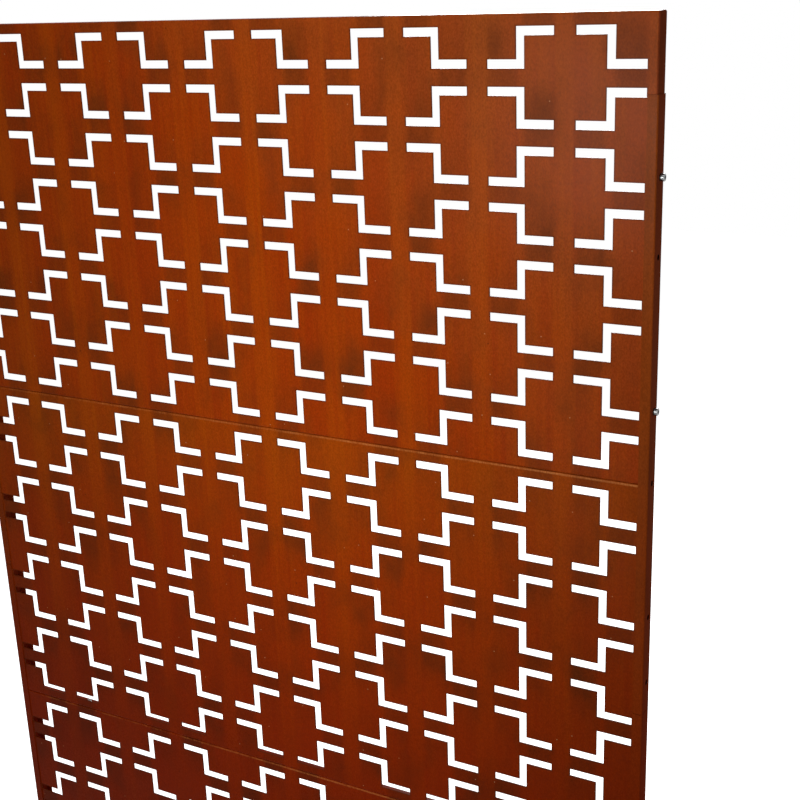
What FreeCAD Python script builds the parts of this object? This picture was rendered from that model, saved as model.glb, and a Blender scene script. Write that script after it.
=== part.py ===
"""Privacy screen: three folded steel panels with stepped slots, held in channel posts on plate feet.

The frame has +Z up and the front face towards -Y. Its origin lies on the floor, midway between the feet.
"""
import FreeCAD, Part
import os

import Sketcher
from FreeCAD import Placement, Rotation, Vector

# Driving dimensions, in millimetres or counts, one named cell each
DIMENSIONS = {
    # Folded panels, three alike; a bend is the inner radius of a folded edge
    "panel_width": 1200,
    "panel_height": 600,
    "panel_depth": 24,
    "panel_sheet": 1.5,
    "panel_bend": 1,
    # Stepped slots, four round each cross, with bridges of steel between them
    "crosses_across": 5,
    "crosses_up": 4,
    "end_border": 4,
    "bridge_across": 29,
    "bridge_up": 22.6,
    "slot_cut": 11.2,
    # Channel posts, two end to end on each side
    "post_drop": 97,
    "post_joint": 1,
    "post_lift": 13,
    "post_flange": 14.5,
    "post_sheet": 1.5,
    "post_bend": 1,
    "post_fit": 0.15,
    # Rows of holes in a post's web
    "screw_first": 100,
    "screw_edge": 100,
    "foot_hole_up": 45,
    "foot_hole_pitch": 100,
    # M6 fasteners and the holes they pass
    "thread": 6,
    "thread_play": 0.05,
    "thread_tail": 1.5,
    "hole_play": 1,
    "cap_width": 10,
    "cap_height": 6,
    "cap_round": 0.8,
    "socket_width": 5,
    "socket_depth": 3,
    "hex_width": 10,
    "hex_height": 4,
    "nut_height": 6,
    "nut_flange": 13,
    "nut_rim": 1.5,
    "seam_bolts": 4,
    # Feet: a base plate with an upright welded on
    "foot_plate": 6,
    "foot_length": 400,
    "foot_width": 80,
    "foot_ledge": 8,
    "foot_corner": 10,
    "anchor_hole": 11,
    "anchor_edge": 30,
    "upright_sheet": 5,
    "upright_base": 120,
    "upright_top": 44,
    "upright_edge": 25,
    "upright_round": 8,
    "weld_leg": 4,
}

# Sizes and places worked out from the driving dimensions
LAYOUT = {
    "half_width": "dims.panel_width / 2",
    "half_height": "dims.panel_height / 2",
    "half_depth": "dims.panel_depth / 2",
    "panel_round": "dims.panel_bend + dims.panel_sheet",
    "return_face": "half_width - dims.panel_sheet",
    "lower_seam": "dims.foot_plate + dims.panel_height",
    "upper_seam": "lower_seam + dims.panel_height",
    "top_panel_middle": "upper_seam + half_height",
    "middle_panel_middle": "lower_seam + half_height",
    "bottom_panel_middle": "dims.foot_plate + half_height",
    # Slots: a cell holds one cross, and each slot lies in the middle of a quarter cell
    "cell_width": "dims.panel_width / dims.crosses_across",
    "cell_height": "(dims.panel_height - 2 * dims.end_border) / dims.crosses_up",
    "slot_across": "cell_width / 4",
    "slot_up": "cell_height / 4",
    "half_run": "(cell_width / 2 - dims.bridge_across) / 2",
    "half_rise": "(cell_height / 2 - dims.bridge_up) / 2",
    "half_cut": "dims.slot_cut / 2",
    # Posts
    "post_length": "(3 * dims.panel_height - dims.post_drop - dims.post_joint - dims.post_lift) / 2",
    "post_round": "dims.post_bend + dims.post_sheet",
    "post_inside": "half_depth + dims.post_fit",
    "post_outside": "post_inside + dims.post_sheet",
    "web_face": "half_width + dims.post_sheet",
    "lower_post_end": "dims.foot_plate + dims.post_lift",
    "upper_post_end": "lower_post_end + post_length + dims.post_joint",
    # Heights of the holes above a post's lower end, from the top pair down; only the top pairs differ
    "screw_hole": "dims.thread + dims.hole_play",
    "upper_hole_one": "post_length - dims.screw_first",
    "upper_spare": "upper_hole_one - dims.screw_edge",
    "lower_hole_one": "lower_seam + dims.screw_edge - lower_post_end",
    "lower_spare": "lower_hole_one - dims.screw_edge",
    "hole_two": "post_length + dims.post_drop - dims.panel_height + dims.screw_edge",
    "hole_three": "post_length + dims.post_drop - dims.panel_height",
    "hole_four": "dims.foot_hole_up + dims.foot_hole_pitch",
    "hole_five": "dims.foot_hole_up",
    # Fasteners
    "post_grip": "dims.post_sheet + dims.panel_sheet",
    "foot_grip": "post_grip + dims.upright_sheet",
    "seam_grip": "2 * dims.panel_sheet",
    "nut_bore": "dims.thread + 2 * dims.thread_play",
    "nut_reach": "dims.nut_height + dims.thread_tail",
    "seam_pitch": "dims.panel_width / dims.seam_bolts",
    "seam_start": "(seam_pitch - dims.panel_width) / 2",
    "seam_run": "dims.panel_width - seam_pitch",
    # Feet, across from the post's web
    "foot_outer": "dims.upright_sheet + dims.foot_ledge",
    "foot_inner": "foot_outer - dims.foot_width",
    "foot_middle": "(foot_outer + foot_inner) / 2",
    "half_foot": "dims.foot_length / 2",
    "anchor_place": "half_foot - dims.anchor_edge",
    "upright_height": "lower_post_end + hole_four + dims.upright_edge",
}

SHARED_HOLES = ("hole_two", "hole_three", "hole_four", "hole_five")
SIDES = ("right", "left")
LEVELS = ("upper", "lower")
UP = Vector(0, 0, 1)
HALF_TURN = Rotation(UP, 180)
HEAD_UP = Rotation(Vector(0, 1, 0), -90)
CLOSE = 1e-6

os.makedirs("parts", exist_ok=True)
doc = FreeCAD.newDocument("privacy_screen")
bodies = []


def fill_sheet(name, cells, mark=""):
    """A sheet with one aliased cell per entry; the mark before a value makes it a formula."""
    sheet = doc.addObject("Spreadsheet::Sheet", name)
    for row, (alias, value) in enumerate(cells.items(), 1):
        sheet.set(f"A{row}", alias)
        sheet.set(f"B{row}", f"{mark}{value}")
        sheet.setAlias(f"B{row}", alias)
    doc.recompute()
    return sheet


fill_sheet("dims", DIMENSIONS)
layout = fill_sheet("layout", LAYOUT, mark="=")


def size(text):
    """The value that an expression over the sheets has now."""
    return float(layout.evalExpression(text))


def new_body(label, across="0", height="0", turn=None):
    """An empty sub-part whose own origin stands at two expressions, turned if so asked."""
    body = doc.addObject("PartDesign::Body", label)
    body.Label = label
    if turn is not None:
        body.Placement = Placement(Vector(), turn)
    body.setExpression("Placement.Base.x", across)
    body.setExpression("Placement.Base.z", height)
    bodies.append(body)
    return body


def side_body(side, name, across, height="0"):
    """An empty sub-part of one side: the left one is the right one turned half round."""
    if side == "left":
        return new_body(f"{side}_{name}", f"-({across})", height, HALF_TURN)
    return new_body(f"{side}_{name}", across, height)


def origin_item(body, role):
    """The plane or axis of the body's own origin that has this role."""
    return next(item for item in body.Origin.OriginFeatures if item.Role == role)


def new_sketch(body, name, role, **shift):
    """An empty sketch on an origin plane, moved in the plane's own x, y or z by expressions."""
    sketch = body.newObject("Sketcher::SketchObject", name)
    sketch.AttachmentSupport = [(origin_item(body, role), "")]
    sketch.MapMode = "FlatFace"
    for axis, text in shift.items():
        sketch.setExpression(f"AttachmentOffset.Base.{axis}", text)
    return sketch


def bind_point(sketch, geometry, point, across, up):
    """Holds a point at two expressions, measured from the sketch's origin."""
    for kind, text in (("DistanceX", across), ("DistanceY", up)):
        number = sketch.addConstraint(Sketcher.Constraint(kind, -1, 1, geometry, point, size(text)))
        sketch.setExpression(f"Constraints[{number}]", text)


def add_loop(sketch, corners):
    """A closed loop of lines through corners, each a pair of expressions."""
    points = [Vector(size(across), size(up), 0) for across, up in corners]
    first = sketch.GeometryCount
    count = len(corners)
    for step in range(count):
        sketch.addGeometry(Part.LineSegment(points[step], points[(step + 1) % count]), False)
    for step in range(count):
        follower = first + (step + 1) % count
        sketch.addConstraint(Sketcher.Constraint("Coincident", first + step, 2, follower, 1))
    for step, (across, up) in enumerate(corners):
        bind_point(sketch, first + step, 1, across, up)


def add_box(sketch, left, right, low, high):
    """A rectangle between expressions."""
    add_loop(sketch, [(left, low), (right, low), (right, high), (left, high)])


def add_circle(sketch, across, up, diameter):
    """A circle of an expression's diameter, centred at two more."""
    centre = Vector(size(across), size(up), 0)
    number = sketch.addGeometry(Part.Circle(centre, UP, size(diameter) / 2), False)
    bind_point(sketch, number, 3, across, up)
    bound = sketch.addConstraint(Sketcher.Constraint("Diameter", number, size(diameter)))
    sketch.setExpression(f"Constraints[{bound}]", diameter)


def add_hexagon(sketch, width):
    """A hexagon about the sketch's origin, of an expression's width across flats."""
    corner = f"{width} / sqrt(3)"
    half_side = f"{width} / sqrt(12)"
    flat = f"{width} / 2"
    add_loop(sketch, [
        (f"-{corner}", "0"), (f"-{half_side}", f"-{flat}"), (half_side, f"-{flat}"),
        (corner, "0"), (half_side, flat), (f"-{half_side}", flat),
    ])


def pad(body, name, sketch, length, turned=False, both_ways=False):
    """Adds the sketch's area to the body, an expression long."""
    feature = body.newObject("PartDesign::Pad", name)
    feature.Profile = sketch
    feature.setExpression("Length", length)
    feature.Reversed = turned
    feature.SideType = "Symmetric" if both_ways else "One side"
    doc.recompute()


def pocket(body, name, sketch, depth=None, turned=False):
    """Cuts the sketch's area to an expression's depth, or through both ways; it has to remove some."""
    before = body.Tip.Shape.Volume
    feature = body.newObject("PartDesign::Pocket", name)
    feature.Profile = sketch
    feature.Reversed = turned
    if depth is None:
        feature.Type = "ThroughAll"
        feature.SideType = "Symmetric"
    else:
        feature.setExpression("Length", depth)
    doc.recompute()
    if feature.Shape.isNull() or feature.Shape.Volume > before - CLOSE:
        raise RuntimeError(f"{body.Label}: {name} removes nothing")
    return feature


def fillet(body, name, radius, wanted):
    """Rounds those edges of the body so far that a test picks."""
    base = body.Tip
    edges = [f"Edge{number}" for number, edge in enumerate(base.Shape.Edges, 1) if wanted(edge)]
    feature = body.newObject("PartDesign::Fillet", name)
    feature.Base = (base, edges)
    feature.setExpression("Radius", radius)
    doc.recompute()


def repeat_down(body, length, count):
    """Repeats the whole body down its own z axis, over an expression's length; the copies stay apart."""
    row = body.newObject("PartDesign::LinearPattern", "row")
    row.TransformMode = "Whole shape"
    row.Direction = (origin_item(body, "Z_Axis"), [""])
    row.Reversed = True
    row.setExpression("Length", length)
    row.setExpression("Occurrences", count)
    body.Tip = row
    doc.recompute()


def ends_at(edge, axis, *places):
    """Whether all of an edge's ends have the same one of these coordinates."""
    ends = [getattr(vertex, axis) for vertex in edge.Vertexes]
    return any(all(abs(end - place) < CLOSE for end in ends) for place in places)


def fold_test(inset):
    """A test for the edges that a panel is folded along, on the skin that lies this far inside."""
    side = size("layout.half_width") - inset
    end = size("layout.half_height") - inset
    face = inset - size("layout.half_depth")

    def wanted(edge):
        corner = ends_at(edge, "X", side, -side) and ends_at(edge, "Z", end, -end)
        return corner or ends_at(edge, "Y", face)
    return wanted


def make_panel(level, side_holes, seam_ends):
    """A folded tray, open at the back, with stepped slots, screw holes and seam holes.

    A side hole is a post's level and a hole of it. A seam end is +1 for the top return, -1 for the bottom.
    """
    middle = f"layout.{level}_panel_middle"
    body = new_body(f"{level}_panel", height=middle)
    outline = new_sketch(body, "outline", "XZ_Plane")
    add_box(outline, "-layout.half_width", "layout.half_width", "-layout.half_height", "layout.half_height")
    pad(body, "block", outline, "dims.panel_depth", both_ways=True)
    fillet(body, "folds", "layout.panel_round", fold_test(0))
    hollow = new_sketch(body, "hollow_outline", "XZ_Plane", z="-layout.half_depth")
    inner_end = "(layout.half_height - dims.panel_sheet)"
    add_box(hollow, "-layout.return_face", "layout.return_face", f"-{inner_end}", inner_end)
    pocket(body, "hollow", hollow, depth="dims.panel_depth - dims.panel_sheet", turned=True)
    fillet(body, "inner_folds", "dims.panel_bend", fold_test(size("dims.panel_sheet")))

    sides = new_sketch(body, "side_holes", "YZ_Plane")
    for post, hole in side_holes:
        add_circle(sides, "0", f"layout.{post}_post_end + layout.{hole} - {middle}", "layout.screw_hole")
    pocket(body, "side_drilling", sides)
    for end in seam_ends:
        drill_seam(body, end)
    cut_slots(body)


def drill_seam(body, end):
    """Drills a panel's row of bolt holes, in its top return for +1 and its bottom one for -1."""
    sketch = new_sketch(body, "seam_holes", "XY_Plane")
    for number in range(int(size("dims.seam_bolts"))):
        add_circle(sketch, f"layout.seam_start + {number} * layout.seam_pitch", "0", "layout.screw_hole")
    pocket(body, "seam_drilling", sketch, depth="layout.half_height", turned=end > 0)


def cut_slots(body):
    """Cuts the stepped slots: four mirrored ones round the top right cross, repeated over the face."""
    sketch = new_sketch(
        body, "cross_slots", "XZ_Plane",
        x="layout.half_width - layout.cell_width / 2",
        y="layout.half_height - dims.end_border - layout.cell_height / 2",
        z="layout.half_depth",
    )
    near = "layout.slot_across - layout.half_run"
    far = "layout.slot_across + layout.half_run"
    stem_near = "layout.slot_across - layout.half_cut"
    stem_far = "layout.slot_across + layout.half_cut"
    top = "layout.slot_up + layout.half_rise"
    foot = "layout.slot_up - layout.half_rise"
    under_top = f"{top} - dims.slot_cut"
    over_foot = f"{foot} + dims.slot_cut"
    step = [
        (near, top), (stem_far, top), (stem_far, over_foot), (far, over_foot),
        (far, foot), (stem_near, foot), (stem_near, under_top), (near, under_top),
    ]
    for across_sign in ("", "-"):
        for up_sign in ("", "-"):
            add_loop(sketch, [(f"{across_sign}({x})", f"{up_sign}({z})") for x, z in step])
    cut = pocket(body, "cross_cut", sketch, depth="layout.panel_round")
    grid = body.newObject("PartDesign::LinearPattern", "cross_grid")
    grid.Originals = [cut]
    grid.Direction = (origin_item(body, "X_Axis"), [""])
    grid.Reversed = True
    grid.setExpression("Length", "dims.panel_width - layout.cell_width")
    grid.setExpression("Occurrences", "dims.crosses_across")
    grid.Direction2 = (origin_item(body, "Z_Axis"), [""])
    grid.Reversed2 = True
    grid.setExpression("Length2", "dims.panel_height - 2 * dims.end_border - layout.cell_height")
    grid.setExpression("Occurrences2", "dims.crosses_up")
    body.Tip = grid
    doc.recompute()


def make_post(side, level):
    """A folded channel round the panels' edge, with a row of holes down its web.

    Its own x runs outwards from the panels' side, and its own z up from its lower end.
    """
    body = side_body(side, f"{level}_post", "layout.half_width", f"layout.{level}_post_end")
    flange_edge = "(dims.post_sheet - dims.post_flange)"
    outline = new_sketch(body, "outline", "XY_Plane")
    add_box(outline, flange_edge, "dims.post_sheet", "-layout.post_outside", "layout.post_outside")
    pad(body, "bar", outline, "layout.post_length")
    web = size("dims.post_sheet")
    outside = size("layout.post_outside")
    fillet(body, "folds", "layout.post_round",
           lambda edge: ends_at(edge, "X", web) and ends_at(edge, "Y", outside, -outside))
    channel = new_sketch(body, "channel", "XY_Plane")
    add_box(channel, f"2 * {flange_edge}", "0", "-layout.post_inside", "layout.post_inside")
    pocket(body, "hollow", channel)
    inside = size("layout.post_inside")
    fillet(body, "inner_folds", "dims.post_bend",
           lambda edge: ends_at(edge, "X", 0) and ends_at(edge, "Y", inside, -inside))
    holes = new_sketch(body, "web_holes", "YZ_Plane")
    for hole in (f"{level}_hole_one", f"{level}_spare", *SHARED_HOLES):
        add_circle(holes, "0", f"layout.{hole}", "layout.screw_hole")
    pocket(body, "web_drilling", holes)


def add_shank(body, grip):
    """A plain shank from the head's seat inwards, through the grip and a nut."""
    sketch = new_sketch(body, "shank_circle", "YZ_Plane")
    add_circle(sketch, "0", "0", "dims.thread")
    pad(body, "shank", sketch, f"{grip} + layout.nut_reach", turned=True)


def make_cap_screws(body, grip, pitch):
    """A pair of cap-head screws with hexagon sockets, one above the other."""
    rim = new_sketch(body, "rim_circle", "YZ_Plane")
    add_circle(rim, "0", "0", "dims.cap_width")
    pad(body, "head", rim, "dims.cap_height")
    crown = size("dims.cap_height")
    fillet(body, "crown_round", "dims.cap_round", lambda edge: ends_at(edge, "X", crown))
    add_shank(body, grip)
    socket = new_sketch(body, "socket_hexagon", "YZ_Plane", z="dims.cap_height")
    add_hexagon(socket, "dims.socket_width")
    pocket(body, "socket", socket, depth="dims.socket_depth")
    repeat_down(body, pitch, "2")


def make_hex_bolts(body, grip, length, count):
    """A row of bolts with hexagon heads."""
    flats = new_sketch(body, "head_hexagon", "YZ_Plane")
    add_hexagon(flats, "dims.hex_width")
    pad(body, "head", flats, "dims.hex_height")
    add_shank(body, grip)
    repeat_down(body, length, count)


def make_nuts(body, length, count):
    """A row of flange nuts, each from its seat inwards."""
    rim = new_sketch(body, "flange_circle", "YZ_Plane")
    add_circle(rim, "0", "0", "dims.nut_flange")
    pad(body, "flange", rim, "dims.nut_rim", turned=True)
    flats = new_sketch(body, "nut_hexagon", "YZ_Plane")
    add_hexagon(flats, "dims.hex_width")
    pad(body, "hexagon", flats, "dims.nut_height", turned=True)
    bore = new_sketch(body, "bore_circle", "YZ_Plane")
    add_circle(bore, "0", "0", "layout.nut_bore")
    pocket(body, "bore", bore)
    repeat_down(body, length, count)


def make_post_fasteners(side, level):
    """The screws in the upper holes of a post's two upper pairs, and their nuts inside the side return."""
    height = f"layout.{level}_post_end + layout.{level}_hole_one"
    pitch = f"layout.{level}_hole_one - layout.hole_two"
    screws = side_body(side, f"{level}_post_screws", "layout.web_face", height)
    make_cap_screws(screws, "layout.post_grip", pitch)
    nuts = side_body(side, f"{level}_post_nuts", "layout.return_face", height)
    make_nuts(nuts, pitch, "2")


def make_foot_fasteners(side):
    """The screws through a foot's upright and the lower post's two lowest holes, and their nuts."""
    height = "layout.lower_post_end + layout.hole_four"
    screws = side_body(side, "foot_screws", "layout.web_face + dims.upright_sheet", height)
    make_cap_screws(screws, "layout.foot_grip", "dims.foot_hole_pitch")
    nuts = side_body(side, "foot_nuts", "layout.return_face", height)
    make_nuts(nuts, "dims.foot_hole_pitch", "2")


def make_seam_fasteners(level):
    """The bolts, heads up, and the nuts that clamp two panels' returns together along a seam."""
    seam = f"layout.{level}_seam"
    bolts = new_body(f"{level}_seam_bolts", "layout.seam_start", f"{seam} + dims.panel_sheet", HEAD_UP)
    make_hex_bolts(bolts, "layout.seam_grip", "layout.seam_run", "dims.seam_bolts")
    nuts = new_body(f"{level}_seam_nuts", "layout.seam_start", f"{seam} - dims.panel_sheet", HEAD_UP)
    make_nuts(nuts, "layout.seam_run", "dims.seam_bolts")


def make_foot(side):
    """A base plate with anchor holes, and an upright welded to it that bolts to the post's web.

    Its own x runs outwards from the outside of the web.
    """
    body = side_body(side, "foot", "layout.web_face")
    plate = new_sketch(body, "plate_outline", "XY_Plane")
    add_box(plate, "layout.foot_inner", "layout.foot_outer", "-layout.half_foot", "layout.half_foot")
    pad(body, "plate", plate, "dims.foot_plate")
    sides = (size("layout.foot_inner"), size("layout.foot_outer"))
    end = size("layout.half_foot")
    fillet(body, "plate_corners", "dims.foot_corner",
           lambda edge: ends_at(edge, "X", *sides) and ends_at(edge, "Y", end, -end))

    upright = new_sketch(body, "upright_outline", "YZ_Plane")
    add_loop(upright, [
        ("-dims.upright_base / 2", "dims.foot_plate"), ("dims.upright_base / 2", "dims.foot_plate"),
        ("dims.upright_top / 2", "layout.upright_height"), ("-dims.upright_top / 2", "layout.upright_height"),
    ])
    pad(body, "upright", upright, "dims.upright_sheet")
    top = size("layout.upright_height")
    shoulder = size("dims.upright_top / 2")
    fillet(body, "upright_corners", "dims.upright_round",
           lambda edge: ends_at(edge, "Z", top) and ends_at(edge, "Y", shoulder, -shoulder))

    weld = new_sketch(body, "weld_section", "XZ_Plane")
    add_loop(weld, [
        ("dims.upright_sheet", "dims.foot_plate"), ("dims.upright_sheet + dims.weld_leg", "dims.foot_plate"),
        ("dims.upright_sheet", "dims.foot_plate + dims.weld_leg"),
    ])
    pad(body, "weld", weld, "dims.upright_base - 2 * dims.weld_leg", both_ways=True)

    anchors = new_sketch(body, "anchor_holes", "XY_Plane")
    for place in ("layout.anchor_place", "-layout.anchor_place"):
        add_circle(anchors, "layout.foot_middle", place, "dims.anchor_hole")
    pocket(body, "anchor_drilling", anchors)
    bolt_holes = new_sketch(body, "upright_holes", "YZ_Plane")
    for hole in ("hole_four", "hole_five"):
        add_circle(bolt_holes, "0", f"layout.lower_post_end + layout.{hole}", "layout.screw_hole")
    pocket(body, "upright_drilling", bolt_holes)


def check_and_write():
    """Stops at any failed object or bad shape, and then writes one file per sub-part."""
    doc.recompute()
    for item in doc.Objects:
        if {"Invalid", "Error"} & set(item.State):
            raise RuntimeError(f"{item.Label} failed: {item.State}")
    shapes = {body.Label: body.Shape for body in bodies}
    for label, shape in shapes.items():
        if shape.isNull() or not shape.isValid():
            raise RuntimeError(f"{label} has a bad shape")
    for label, shape in shapes.items():
        shape.exportStep(f"parts/{label}.step")
        print(f"{label}: {len(shape.Solids)} solids, {shape.Volume / 1000:.1f} cm3")


make_panel("top", [("upper", hole) for hole in ("upper_hole_one", "upper_spare", "hole_two")], [-1])
make_panel("middle", [("upper", "hole_four"), ("upper", "hole_five"), ("lower", "lower_hole_one")], [1, -1])
make_panel("bottom", [("lower", hole) for hole in SHARED_HOLES], [1])
for level in LEVELS:
    make_seam_fasteners(level)
for side in SIDES:
    for level in LEVELS:
        make_post(side, level)
        make_post_fasteners(side, level)
    make_foot(side)
    make_foot_fasteners(side)
check_and_write()
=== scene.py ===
"""Looks of a free-standing privacy screen.

Slotted trays of rusted steel stand in channel posts that bolt to plate feet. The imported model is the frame:
its sheet-metal nodes keep their shapes and get their finish here, while fasteners and welds get finer meshes
where the frame's own are. Sizes are in millimetres unless a name says otherwise.
"""

import logging
import math
from abc import ABC, abstractmethod
from collections.abc import Mapping, Sequence
from dataclasses import dataclass
from enum import Enum

import bmesh
import bpy
from mathutils import Matrix, Quaternion, Vector


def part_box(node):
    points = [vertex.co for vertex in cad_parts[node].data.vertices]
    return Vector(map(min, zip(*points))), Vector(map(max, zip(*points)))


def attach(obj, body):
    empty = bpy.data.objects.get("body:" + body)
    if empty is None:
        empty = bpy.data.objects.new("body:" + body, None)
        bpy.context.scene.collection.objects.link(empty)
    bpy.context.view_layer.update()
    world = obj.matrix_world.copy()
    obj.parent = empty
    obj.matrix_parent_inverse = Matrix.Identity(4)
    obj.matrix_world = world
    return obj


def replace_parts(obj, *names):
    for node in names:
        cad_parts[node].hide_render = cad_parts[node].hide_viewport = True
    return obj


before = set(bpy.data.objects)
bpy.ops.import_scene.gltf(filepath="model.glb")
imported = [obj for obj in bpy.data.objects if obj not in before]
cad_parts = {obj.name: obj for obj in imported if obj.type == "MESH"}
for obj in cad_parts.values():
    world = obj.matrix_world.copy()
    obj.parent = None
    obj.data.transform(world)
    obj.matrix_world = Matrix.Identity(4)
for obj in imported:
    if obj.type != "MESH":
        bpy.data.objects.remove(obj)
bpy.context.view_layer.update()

MM = 0.001
BODY = "root"
WHITE = "#ffffff"
# Where seams and posts are
LEVELS = ("upper", "lower")
# What a noise pattern varies about, and the steps of a chamfer's curve
NOISE_MIDDLE = 0.5
CHAMFER_SHARES = (0.0, 0.25, 0.5, 0.75, 1.0)
Colour = tuple[float, float, float, float]
Point = tuple[float, float, float]
Span = tuple[float, float]
log = logging.getLogger("privacy_screen")


def linear(hex_colour: str) -> Colour:
    """Turns an sRGB hex colour into the linear one that a socket takes.

    Args:
        hex_colour: A number sign and six hex digits.

    Returns:
        Linear red, green and blue, and an alpha of one.
    """
    shares = [int(hex_colour[start:start + 2], 16) / 255 for start in (1, 3, 5)]
    red, green, blue = (
        share / 12.92 if share <= 0.04045 else ((share + 0.055) / 1.055) ** 2.4 for share in shares
    )
    return red, green, blue, 1.0


def add(
    tree: bpy.types.NodeTree,
    kind: str,
    inputs: Sequence[object] | Mapping[str | int, object] = (),
    **settings: object,
) -> bpy.types.Node:
    """Adds a node with its settings, and fills or links its inputs.

    Args:
        tree: The node tree that gets the node.
        kind: The node's type name.
        inputs: Plain values, or sockets or nodes to link, in the sockets' order or by name or number.
        settings: Properties of the node itself.

    Returns:
        The new node.
    """
    node = tree.nodes.new(kind)
    for name, value in settings.items():
        setattr(node, name, value)
    for key, value in inputs.items() if isinstance(inputs, Mapping) else enumerate(inputs):
        if isinstance(value, bpy.types.Node):
            value = next(socket for socket in value.outputs if socket.enabled)
        if isinstance(value, bpy.types.NodeSocket):
            tree.links.new(value, node.inputs[key])
        else:
            node.inputs[key].default_value = value
    return node


def weighed(
    tree: bpy.types.NodeTree,
    start: float | bpy.types.Node | bpy.types.NodeSocket,
    *parts: tuple[bpy.types.Node | bpy.types.NodeSocket, float],
) -> bpy.types.Node:
    """Adds up patterns by their weights.

    Args:
        tree: The material's nodes.
        start: What the sum starts from.
        parts: Each pattern with its weight.

    Returns:
        The node that holds the sum.
    """
    total = start
    for pattern, weight in parts:
        total = add(tree, "ShaderNodeMath", [pattern, weight, total], operation="MULTIPLY_ADD")
    return total


@dataclass(frozen=True)
class Mottle:
    """An uneven pattern: the usual size of its blotches across and upwards, and its finer layers."""

    width: float
    length: float
    layers: float = 3.0

    def draw(self, tree: bpy.types.NodeTree, place: bpy.types.Node, seed: float) -> bpy.types.Node:
        """Adds the pattern to a material.

        Args:
            tree: The material's nodes.
            place: A point of the surface, in millimetres.
            seed: Which pattern of this kind it is.

        Returns:
            A node whose value varies about zero, mostly by a quarter.
        """
        shrink = (1 / self.width, 1 / self.width, 1 / self.length)
        shrunk = add(tree, "ShaderNodeVectorMath", [place, shrink], operation="MULTIPLY")
        noise = add(
            tree, "ShaderNodeTexNoise",
            {"Vector": shrunk, "W": seed, "Scale": 1.0, "Detail": self.layers},
            noise_dimensions="4D",
        )
        return add(tree, "ShaderNodeMath", [noise, NOISE_MIDDLE], operation="SUBTRACT")


@dataclass(frozen=True)
class Specks:
    """Scattered specks: how far apart the places for one are, a speck's width and the share with one."""

    spacing: float
    width: float
    share: float
    strength: float = 0.8
    # The flat pattern leans this much with depth, so that it has specks on faces of every direction
    lean: float = 0.8

    def draw(self, tree: bpy.types.NodeTree, place: bpy.types.Node, seed: float) -> bpy.types.Node:
        """Adds a mask of the specks to a material.

        Args:
            tree: The material's nodes.
            place: A point of the surface, in millimetres.
            seed: Which specks of this kind they are.

        Returns:
            A node that is near one on a speck and zero elsewhere.
        """
        axes = add(tree, "ShaderNodeSeparateXYZ", [place])
        along, up = (weighed(tree, axes.outputs[axis], (axes.outputs["Y"], self.lean)) for axis in "XZ")
        flat = add(tree, "ShaderNodeCombineXYZ", [along, up])
        flat = add(tree, "ShaderNodeVectorMath", [flat, (seed * self.spacing, 0.0, 0.0)], operation="ADD")
        cells = add(
            tree, "ShaderNodeTexVoronoi",
            {"Vector": flat, "Scale": 1 / self.spacing},
            voronoi_dimensions="2D",
        )
        size = self.width / self.spacing
        near = add(tree, "ShaderNodeMapRange", [cells.outputs["Distance"], 0.0, size, self.strength, 0.0])
        chosen = add(tree, "ShaderNodeMath", [cells.outputs["Color"], self.share], operation="LESS_THAN")
        return add(tree, "ShaderNodeMath", [near, chosen], operation="MULTIPLY")


class Finish(ABC):
    """A finish that is drawn from the object's own coordinates."""

    name: str

    def make(self) -> bpy.types.Material:
        """Makes the material.

        Returns:
            A material with its nodes.
        """
        material = bpy.data.materials.new(self.name)
        material.use_nodes = True
        tree = material.node_tree
        own = add(tree, "ShaderNodeTexCoord").outputs["Object"]
        place = add(tree, "ShaderNodeVectorMath", {0: own, "Scale": 1 / MM}, operation="SCALE")
        shader = tree.nodes["Principled BSDF"]
        for socket, node in self.paint(tree, place, shader).items():
            output = next(out for out in node.outputs if out.enabled)
            tree.links.new(output, shader.inputs[socket])
        return material

    @abstractmethod
    def paint(
        self, tree: bpy.types.NodeTree, place: bpy.types.Node, shader: bpy.types.Node
    ) -> dict[str, bpy.types.Node]:
        """Sets the finish's constant values, and draws the ones that vary.

        Args:
            tree: The material's nodes.
            place: A point of the surface, in millimetres.
            shader: The material's shader.

        Returns:
            A node for each of the shader's sockets that varies.
        """


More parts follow.
